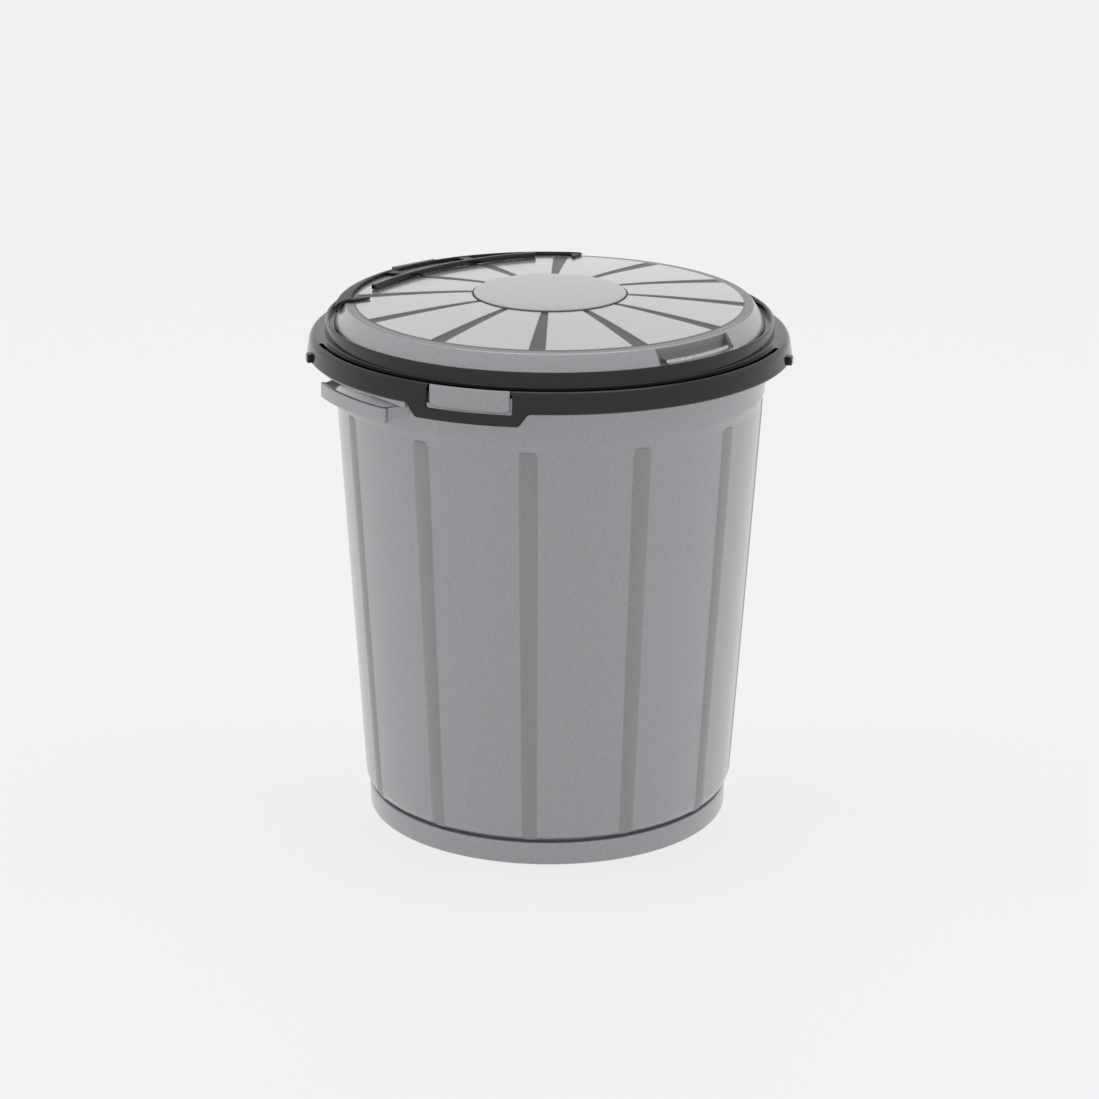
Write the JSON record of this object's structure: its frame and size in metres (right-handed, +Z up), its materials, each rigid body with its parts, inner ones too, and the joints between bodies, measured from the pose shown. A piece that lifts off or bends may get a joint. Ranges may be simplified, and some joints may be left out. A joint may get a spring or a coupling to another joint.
{
  "type": "round waste bin with hinged lid",
  "caption": "Round tapered waste bin with a ribbed silver body, side grips, a black clamping ring strapped over the lip, and a domed lid on a rear hinge that opens upwards.",
  "frame": {"origin": "centre of the round foot on the floor", "axes": "+Z up along the bin's axis, -Y towards the viewer of the picture, +X to the viewer's right; the lid's lift shelf is at the front right"},
  "size_m": [0.4606, 0.46, 0.515],
  "materials": {
    "silver_body": "metallic silver pigmented plastic, satin with fine speckle",
    "silver_lid": "pale metallic silver plastic, satin",
    "black_trim": "semi-gloss black",
    "steel_pin": "plain steel"
  },
  "bodies": {
    "body": {"bin_body": "silver_body"},
    "ring": {"rim_ring": "black_trim", "hinge_pin": "steel_pin"},
    "lid": {"lid": "silver_lid", "hinge_cover": "black_trim"}
  },
  "joints": [
    {"name": "ring_lift", "type": "slide", "parent": "body", "child": "ring", "axis": [0, 0, 1], "range_m": [0, 0.08]},
    {"name": "lid_hinge", "type": "hinge", "parent": "ring", "child": "lid", "pos_m": [-0.13784, 0.15309, 0.492], "axis": [-0.7431, -0.6691, 0], "range_deg": [0, 95]}
  ]
}
